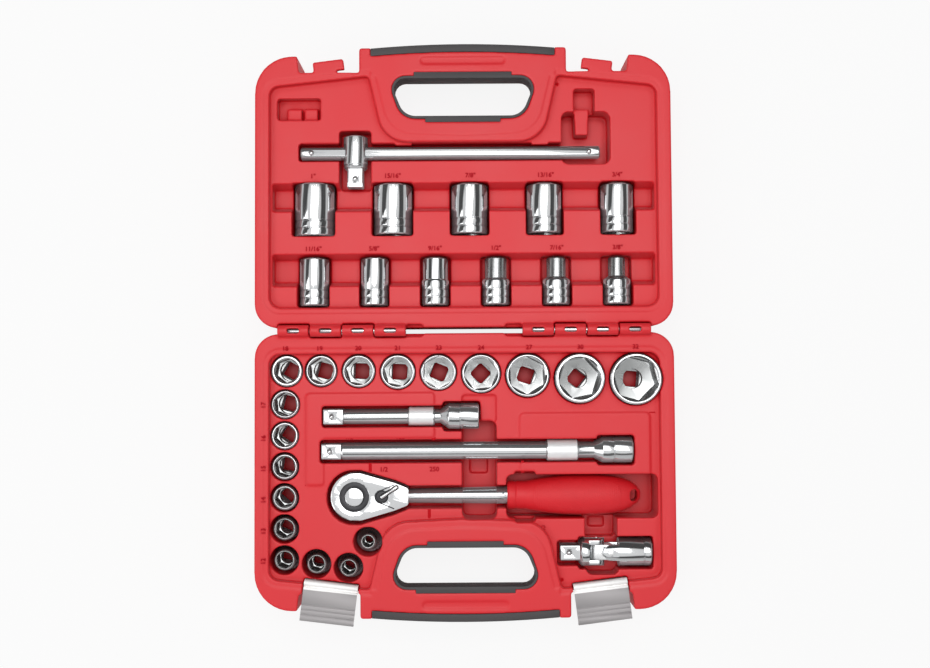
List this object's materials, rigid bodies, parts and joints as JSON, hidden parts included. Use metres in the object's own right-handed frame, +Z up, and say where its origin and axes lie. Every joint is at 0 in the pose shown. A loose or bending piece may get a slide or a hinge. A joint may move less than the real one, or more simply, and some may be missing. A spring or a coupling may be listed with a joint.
{
  "type": "socket wrench set in case",
  "caption": "Open two-part carrying case with a split handle and snap latches, whose moulded pockets hold sockets, a ratchet, extension bars, a universal joint and a sliding T-bar.",
  "frame": {"origin": "middle of the open case's box on the surface it stands on", "axes": "+X along the hinge, +Y from the hinge to the lid's handle, +Z up out of the trays"},
  "size_m": [0.336, 0.4666, 0.0523],
  "materials": {
    "red_case": "satin, finely grained",
    "grip_rubber": "matt",
    "red_grip": "satin",
    "chrome": "satin chrome",
    "latch_steel": "brushed",
    "pin_steel": "ground",
    "dark_ring": "black oxide"
  },
  "bodies": {
    "base": {"base_shell": "red_case", "base_grip": "grip_rubber", "hinge_pins": "pin_steel", "latch_pivot_pins": "pin_steel"},
    "lid": {"lid_shell": "red_case", "lid_grip": "grip_rubber"},
    "latch_link_left": {"latch_link_left": "latch_steel"},
    "latch_link_right": {"latch_link_right": "latch_steel"},
    "latch_lever_left": {"latch_lever_left": "latch_steel"},
    "latch_lever_right": {"latch_lever_right": "latch_steel"},
    "ratchet": {"ratchet_body": "chrome", "ratchet_grip": "red_grip", "ratchet_ring": "dark_ring", "ratchet_pawl": "pin_steel"},
    "ratchet_drive": {"ratchet_drive": "chrome"},
    "ratchet_button": {"ratchet_button": "chrome"},
    "ratchet_lever": {"ratchet_lever": "chrome"},
    "ratchet_ball": {"ratchet_ball": "pin_steel"},
    "short_bar": {"short_bar": "chrome"},
    "short_bar_ball": {"short_bar_ball": "pin_steel"},
    "long_bar": {"long_bar": "chrome"},
    "long_bar_ball": {"long_bar_ball": "pin_steel"},
    "uj_drive_yoke": {"uj_drive_yoke": "chrome"},
    "uj_block": {"uj_block": "chrome", "uj_pins": "pin_steel"},
    "uj_socket_yoke": {"uj_socket_yoke": "chrome"},
    "uj_ball": {"uj_ball": "pin_steel"},
    "t_bar": {"t_bar": "chrome", "t_bar_balls": "pin_steel"},
    "t_head": {"t_head": "chrome"},
    "t_head_ball": {"t_head_ball": "pin_steel"},
    "socket_18": {"socket_18": "chrome"},
    "socket_19": {"socket_19": "chrome"},
    "socket_20": {"socket_20": "chrome"},
    "socket_21": {"socket_21": "chrome"},
    "socket_23": {"socket_23": "chrome"},
    "socket_24": {"socket_24": "chrome"},
    "socket_27": {"socket_27": "chrome"},
    "socket_30": {"socket_30": "chrome"},
    "socket_32": {"socket_32": "chrome"},
    "socket_17": {"socket_17": "chrome"},
    "socket_16": {"socket_16": "chrome"},
    "socket_15": {"socket_15": "chrome"},
    "socket_14": {"socket_14": "chrome"},
    "socket_13": {"socket_13": "chrome"},
    "socket_12": {"socket_12": "chrome"},
    "socket_11": {"socket_11": "chrome"},
    "socket_10": {"socket_10": "chrome"},
    "socket_8": {"socket_8": "chrome"},
    "socket_1in": {"socket_1in": "chrome"},
    "socket_15_16in": {"socket_15_16in": "chrome"},
    "socket_7_8in": {"socket_7_8in": "chrome"},
    "socket_13_16in": {"socket_13_16in": "chrome"},
    "socket_3_4in": {"socket_3_4in": "chrome"},
    "socket_11_16in": {"socket_11_16in": "chrome"},
    "socket_5_8in": {"socket_5_8in": "chrome"},
    "socket_9_16in": {"socket_9_16in": "chrome"},
    "socket_1_2in": {"socket_1_2in": "chrome"},
    "socket_7_16in": {"socket_7_16in": "chrome"},
    "socket_3_8in": {"socket_3_8in": "chrome"}
  },
  "joints": [
    {"name": "lid_hinge", "type": "hinge", "parent": "base", "child": "lid", "pos_m": [0, 0.00169, 0.0475], "axis": [-1, 0, 0], "range_deg": [-180, 0]},
    {"name": "latch_link_right_pivot", "type": "hinge", "parent": "base", "child": "latch_link_right", "pos_m": [0.10876, -0.21429, 0.038], "axis": [-0.9925, -0.1219, 0], "range_deg": [-90, 0]},
    {"name": "latch_lever_right_pivot", "type": "hinge", "parent": "latch_link_right", "child": "latch_lever_right", "pos_m": [0.10964, -0.22143, 0.0425], "axis": [0.9925, 0.1219, 0], "range_deg": [0, 60]},
    {"name": "latch_link_left_pivot", "type": "hinge", "parent": "base", "child": "latch_link_left", "pos_m": [-0.10876, -0.21429, 0.038], "axis": [-0.9925, 0.1219, 0], "range_deg": [-90, 0]},
    {"name": "latch_lever_left_pivot", "type": "hinge", "parent": "latch_link_left", "child": "latch_lever_left", "pos_m": [-0.10964, -0.22143, 0.0425], "axis": [0.9925, -0.1219, 0], "range_deg": [0, 60]},
    {"name": "ratchet_lift", "type": "slide", "parent": "base", "child": "ratchet", "axis": [0, 0, 1], "range_m": [0, 0.05]},
    {"name": "ratchet_drive_turn", "type": "hinge", "parent": "ratchet", "child": "ratchet_drive", "pos_m": [-0.0893, -0.13192, 0.0297], "axis": [0, 0, 1], "continuous": true},
    {"name": "ratchet_button_press", "type": "slide", "parent": "ratchet_drive", "child": "ratchet_button", "axis": [0, 0, -1], "range_m": [0, 0.0025], "stiffness_N_per_m": 400, "springref_m": -0.003},
    {"name": "ratchet_ball_press", "type": "slide", "parent": "ratchet_drive", "child": "ratchet_ball", "axis": [-1, 0, 0], "range_m": [0, 0.001], "stiffness_N_per_m": 400, "springref_m": -0.003},
    {"name": "ratchet_lever_turn", "type": "hinge", "parent": "ratchet", "child": "ratchet_lever", "pos_m": [-0.067, -0.13192, 0.0377], "axis": [0, 0, 1], "range_deg": [-70, 0]},
    {"name": "short_bar_lift", "type": "slide", "parent": "base", "child": "short_bar", "axis": [0, 0, 1], "range_m": [0, 0.05]},
    {"name": "short_bar_ball_press", "type": "slide", "parent": "short_bar", "child": "short_bar_ball", "axis": [0, 0, -1], "range_m": [0, 0.001], "stiffness_N_per_m": 400, "springref_m": -0.003},
    {"name": "long_bar_lift", "type": "slide", "parent": "base", "child": "long_bar", "axis": [0, 0, 1], "range_m": [0, 0.05]},
    {"name": "long_bar_ball_press", "type": "slide", "parent": "long_bar", "child": "long_bar_ball", "axis": [0, 0, -1], "range_m": [0, 0.001], "stiffness_N_per_m": 400, "springref_m": -0.003},
    {"name": "uj_lift", "type": "slide", "parent": "base", "child": "uj_drive_yoke", "axis": [0, 0, 1], "range_m": [0, 0.05]},
    {"name": "uj_ball_press", "type": "slide", "parent": "uj_drive_yoke", "child": "uj_ball", "axis": [0, 0, -1], "range_m": [0, 0.001], "stiffness_N_per_m": 400, "springref_m": -0.003},
    {"name": "uj_block_turn", "type": "hinge", "parent": "uj_drive_yoke", "child": "uj_block", "pos_m": [0.1056, -0.17702, 0.0345], "axis": [0, -1, 0], "range_deg": [0, 45]},
    {"name": "uj_socket_yoke_turn", "type": "hinge", "parent": "uj_block", "child": "uj_socket_yoke", "pos_m": [0.1163, -0.17702, 0.0345], "axis": [0, 0, 1], "range_deg": [-2, 2]},
    {"name": "t_bar_lift", "type": "slide", "parent": "lid", "child": "t_bar", "axis": [0, 0, 1], "range_m": [0, 0.05]},
    {"name": "t_head_slide", "type": "slide", "parent": "t_bar", "child": "t_head", "axis": [1, 0, 0], "range_m": [-0.0025, 0.0025]},
    {"name": "t_head_ball_press", "type": "slide", "parent": "t_head", "child": "t_head_ball", "axis": [0, 0, -1], "range_m": [0, 0.001], "stiffness_N_per_m": 400, "springref_m": -0.003},
    {"name": "socket_18_lift", "type": "slide", "parent": "base", "child": "socket_18", "axis": [0, 0, 1], "range_m": [0, 0.05]},
    {"name": "socket_19_lift", "type": "slide", "parent": "base", "child": "socket_19", "axis": [0, 0, 1], "range_m": [0, 0.05]},
    {"name": "socket_20_lift", "type": "slide", "parent": "base", "child": "socket_20", "axis": [0, 0, 1], "range_m": [0, 0.05]},
    {"name": "socket_21_lift", "type": "slide", "parent": "base", "child": "socket_21", "axis": [0, 0, 1], "range_m": [0, 0.05]},
    {"name": "socket_23_lift", "type": "slide", "parent": "base", "child": "socket_23", "axis": [0, 0, 1], "range_m": [0, 0.05]},
    {"name": "socket_24_lift", "type": "slide", "parent": "base", "child": "socket_24", "axis": [0, 0, 1], "range_m": [0, 0.05]},
    {"name": "socket_27_lift", "type": "slide", "parent": "base", "child": "socket_27", "axis": [0, 0, 1], "range_m": [0, 0.05]},
    {"name": "socket_30_lift", "type": "slide", "parent": "base", "child": "socket_30", "axis": [0, 0, 1], "range_m": [0, 0.05]},
    {"name": "socket_32_lift", "type": "slide", "parent": "base", "child": "socket_32", "axis": [0, 0, 1], "range_m": [0, 0.05]},
    {"name": "socket_17_lift", "type": "slide", "parent": "base", "child": "socket_17", "axis": [0, 0, 1], "range_m": [0, 0.05]},
    {"name": "socket_16_lift", "type": "slide", "parent": "base", "child": "socket_16", "axis": [0, 0, 1], "range_m": [0, 0.05]},
    {"name": "socket_15_lift", "type": "slide", "parent": "base", "child": "socket_15", "axis": [0, 0, 1], "range_m": [0, 0.05]},
    {"name": "socket_14_lift", "type": "slide", "parent": "base", "child": "socket_14", "axis": [0, 0, 1], "range_m": [0, 0.05]},
    {"name": "socket_13_lift", "type": "slide", "parent": "base", "child": "socket_13", "axis": [0, 0, 1], "range_m": [0, 0.05]},
    {"name": "socket_12_lift", "type": "slide", "parent": "base", "child": "socket_12", "axis": [0, 0, 1], "range_m": [0, 0.05]},
    {"name": "socket_11_lift", "type": "slide", "parent": "base", "child": "socket_11", "axis": [0, 0, 1], "range_m": [0, 0.05]},
    {"name": "socket_10_lift", "type": "slide", "parent": "base", "child": "socket_10", "axis": [0, 0, 1], "range_m": [0, 0.05]},
    {"name": "socket_8_lift", "type": "slide", "parent": "base", "child": "socket_8", "axis": [0, 0, 1], "range_m": [0, 0.05]},
    {"name": "socket_1in_lift", "type": "slide", "parent": "lid", "child": "socket_1in", "axis": [0, 0, 1], "range_m": [0, 0.05]},
    {"name": "socket_15_16in_lift", "type": "slide", "parent": "lid", "child": "socket_15_16in", "axis": [0, 0, 1], "range_m": [0, 0.05]},
    {"name": "socket_7_8in_lift", "type": "slide", "parent": "lid", "child": "socket_7_8in", "axis": [0, 0, 1], "range_m": [0, 0.05]},
    {"name": "socket_13_16in_lift", "type": "slide", "parent": "lid", "child": "socket_13_16in", "axis": [0, 0, 1], "range_m": [0, 0.05]},
    {"name": "socket_3_4in_lift", "type": "slide", "parent": "lid", "child": "socket_3_4in", "axis": [0, 0, 1], "range_m": [0, 0.05]},
    {"name": "socket_11_16in_lift", "type": "slide", "parent": "lid", "child": "socket_11_16in", "axis": [0, 0, 1], "range_m": [0, 0.05]},
    {"name": "socket_5_8in_lift", "type": "slide", "parent": "lid", "child": "socket_5_8in", "axis": [0, 0, 1], "range_m": [0, 0.05]},
    {"name": "socket_9_16in_lift", "type": "slide", "parent": "lid", "child": "socket_9_16in", "axis": [0, 0, 1], "range_m": [0, 0.05]},
    {"name": "socket_1_2in_lift", "type": "slide", "parent": "lid", "child": "socket_1_2in", "axis": [0, 0, 1], "range_m": [0, 0.05]},
    {"name": "socket_7_16in_lift", "type": "slide", "parent": "lid", "child": "socket_7_16in", "axis": [0, 0, 1], "range_m": [0, 0.05]},
    {"name": "socket_3_8in_lift", "type": "slide", "parent": "lid", "child": "socket_3_8in", "axis": [0, 0, 1], "range_m": [0, 0.05]}
  ]
}
